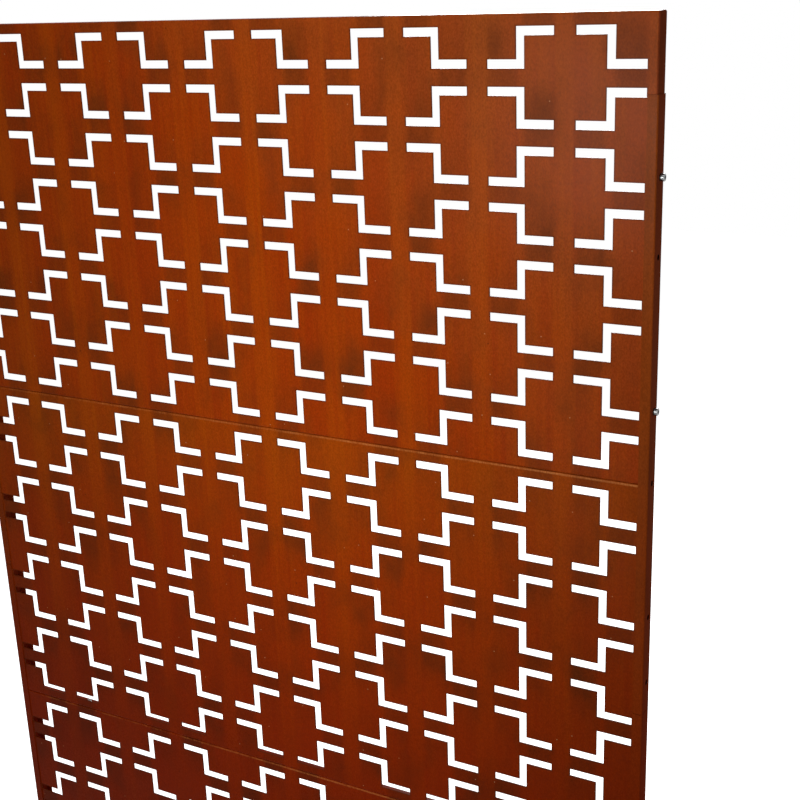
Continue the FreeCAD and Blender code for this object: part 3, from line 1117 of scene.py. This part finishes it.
@dataclass(frozen=True)
class Surround:
    """A white surround that lights the screen evenly from all sides."""

    light: float = 0.16

    def build(self) -> None:
        """Sets the scene's world."""
        world = bpy.data.worlds.new("white_surround")
        bpy.context.scene.world = world
        world.use_nodes = True
        tree = world.node_tree
        tree.nodes.clear()
        lighting = add(tree, "ShaderNodeBackground", {"Color": linear(WHITE), "Strength": self.light})
        shown = add(tree, "ShaderNodeBackground", {"Color": linear(WHITE), "Strength": 1.0})
        mixed = add(tree, "ShaderNodeMixShader", [seen_ray(tree), lighting, shown])
        add(tree, "ShaderNodeOutputWorld", {"Surface": mixed})


@dataclass(frozen=True)
class SoftBox:
    """A soft studio lamp."""

    name: str
    place: Point
    aim: Point
    width: float
    height: float
    watts: float

    def build(self) -> None:
        """Hangs the lamp and points it."""
        lamp = bpy.data.lights.new(self.name, "AREA")
        lamp.shape = "RECTANGLE"
        lamp.size = self.width * MM
        lamp.size_y = self.height * MM
        lamp.energy = self.watts
        holder = bpy.data.objects.new(self.name, lamp)
        bpy.context.scene.collection.objects.link(holder)
        holder.location = Vector(self.place) * MM
        way = Vector(self.aim) - Vector(self.place)
        holder.rotation_mode = "QUATERNION"
        holder.rotation_quaternion = way.to_track_quat("-Z", "Y")
        holder.visible_camera = False
        log.info("%s: %g W", self.name, self.watts)


@dataclass(frozen=True)
class Studio:
    """The floor, the surround and the lamps."""

    lamps: tuple[SoftBox, ...] = (
        SoftBox("key_lamp", (185, -1000, 1565), aim=(480, 0, 1750), width=380, height=400, watts=8.1),
        SoftBox("low_lamp", (200, -800, 890), aim=(-800, 0, 600), width=600, height=600, watts=3.8),
        SoftBox("end_lamp", (2300, 300, 1500), aim=(600, 0, 1100), width=500, height=500, watts=5.5),
        SoftBox("top_lamp", (0, -500, 3200), aim=(0, 0, 1300), width=700, height=700, watts=8),
        SoftBox("back_lamp", (-600, 2600, 2400), aim=(0, 0, 900), width=1200, height=1200, watts=70),
    )

    def build(self) -> None:
        """Sets the studio up."""
        for piece in (Floor(), Surround(), *self.lamps):
            piece.build()


@dataclass(frozen=True)
class Viewpoint:
    """Where the camera stands, fitted to the corners of the slots."""

    place: Point = (1094.2, -1560.3, 1845.7)
    # Degrees: turned left from straight ahead, tipped down and rolled
    heading: float = 29.12
    tip: float = 17.72
    roll: float = -1.95
    lens: float = 58.62
    film: float = 36.0

    def build(self) -> None:
        """Sets up the camera and looks through it."""
        data = bpy.data.cameras.new("viewpoint")
        data.lens = self.lens
        data.sensor_width = self.film
        camera = bpy.data.objects.new("viewpoint", data)
        bpy.context.scene.collection.objects.link(camera)
        camera.location = Vector(self.place) * MM
        turned = Quaternion((0, 0, 1), math.radians(self.heading))
        tipped = Quaternion((1, 0, 0), math.radians(90 - self.tip))
        rolled = Quaternion((0, 0, 1), math.radians(self.roll))
        camera.rotation_mode = "QUATERNION"
        camera.rotation_quaternion = turned @ tipped @ rolled
        bpy.context.scene.camera = camera


class Side(Enum):
    """The screen's two ends, with the way that each faces."""

    RIGHT = Facing.RIGHT
    LEFT = Facing.LEFT

    @property
    def label(self) -> str:
        """The side's part of a node's name."""
        return self.name.lower()

    @property
    def sign(self) -> int:
        """Plus or minus one along the screen's width."""
        return 1 if self is Side.RIGHT else -1


@dataclass(frozen=True)
class SpareHoles:
    """The empty holes in the posts: one below each post screw, and the lowest pair of the upper posts."""

    # How far a hole is from its neighbour, and the lowest one from the post's end
    pitch: float = 100.0
    lowest: float = 45.0

    def heights(self) -> tuple[float, ...]:
        """Finds the holes in the frame.

        Returns:
            Their heights above the floor.
        """
        half_head = CapScrewRow.width / 2
        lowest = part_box("right_upper_post")[0].z / MM + self.lowest
        found = [lowest, lowest + self.pitch]
        for level in LEVELS:
            low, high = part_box(f"right_{level}_post_screws")
            for screw in (low.z / MM + half_head, high.z / MM - half_head):
                found.append(screw - self.pitch)
        return tuple(found)


@dataclass(frozen=True)
class Tray:
    """How one of the folded trays rusted and where painted sheen and highlight lie on it, as its finish says,
    and which tray it is.
    """

    level: str
    hung: int
    bridge_brown: float
    end_brown: float
    corner_sheen: float = 0.0
    top_ochre: float = 0.0
    wear_and_highlight: float = 0.0


@dataclass(frozen=True)
class PanelStack:
    """Three folded trays, bolted to each other inside their seams."""

    trays: tuple[Tray, ...] = (
        # A tray's corner value paints a greyish sheen, and its wear value also paints a highlight on the
        # upper bend
        Tray("top", hung=1, bridge_brown=0.4, end_brown=0.1, corner_sheen=0.28),
        Tray("middle", hung=-1, bridge_brown=0.4, end_brown=0.25, top_ochre=0.18, wear_and_highlight=0.3),
        Tray("bottom", hung=-1, bridge_brown=0.6, end_brown=0.25, wear_and_highlight=0.3),
    )
    seed_step: float = 20.0
    end_border: float = 4.0
    bolts_per_seam: int = 4

    def build(self, zinc: bpy.types.Material, bores: tuple[float, ...]) -> None:
        """Dresses the trays and bolts them together.

        Args:
            zinc: The fasteners' finish.
            bores: Heights of the empty holes through the posts and the trays' sides.
        """
        for number, tray in enumerate(self.trays):
            node = f"{tray.level}_panel"
            low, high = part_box(node)
            finish = RustedSteel(
                f"rusted_steel_{node}",
                seed=self.seed_step * number,
                lattice=SlotLattice(low.z / MM + self.end_border),
                hung=tray.hung,
                bridge_brown=tray.bridge_brown,
                end_brown=tray.end_brown,
                corner_sheen=tray.corner_sheen,
                top_ochre=tray.top_ochre,
                wear_and_highlight=tray.wear_and_highlight,
                upper_edge=high.z / MM,
                bores=bores,
            )
            dress(node, finish.make())
        for seam in LEVELS:
            HexBoltRow(f"{seam}_seam_bolts", self.bolts_per_seam, Facing.UP).build(zinc)
            FlangeNutRow(f"{seam}_seam_nuts", self.bolts_per_seam, Facing.UP).build(zinc)


@dataclass(frozen=True)
class EndFrame:
    """The channel posts on one end of the screen, and the foot under them."""

    side: Side
    screws: int = 2
    plate: float = 6.0
    upright_inset: float = 8.0
    weld_length: float = 112.0

    def build(self, rust: bpy.types.Material, zinc: bpy.types.Material) -> None:
        """Dresses the posts and the foot, and screws and welds them.

        Args:
            rust: The posts' and the foot's finish.
            zinc: The fasteners' finish.
        """
        label = self.side.label
        for part in (*(f"{level}_post" for level in LEVELS), "foot"):
            dress(f"{label}_{part}", rust)
            CapScrewRow(f"{label}_{part}_screws", self.screws, self.side.value).build(zinc)
            FlangeNutRow(f"{label}_{part}_nuts", self.screws, self.side.value).build(zinc)
        low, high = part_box(f"{label}_foot")
        out = max(abs(low.x), abs(high.x)) / MM - self.upright_inset
        WeldBead(f"{label}_foot_weld", out, self.plate, self.side.sign, self.weld_length).build(rust)


def main() -> None:
    """Builds and dresses the screen and its surroundings."""
    logging.basicConfig(level=logging.INFO, format="%(message)s")
    bpy.context.scene.view_settings.view_transform = "Standard"
    Viewpoint().build()
    Studio().build()
    spare_holes = SpareHoles().heights()
    rust = RustedSteel(
        "rusted_steel_posts_and_feet",
        seed=80.0,
        orange="#843a0e",
        red_brown="#742e07",
        # A painted greyish sheen towards the upper right corner
        corner_sheen=0.15,
        waxed_half=601.3,
        bores=spare_holes,
    ).make()
    zinc = ZincPlate().make()
    PanelStack().build(zinc, spare_holes)
    for side in Side:
        EndFrame(side).build(rust, zinc)


if __name__ == "__main__":
    main()
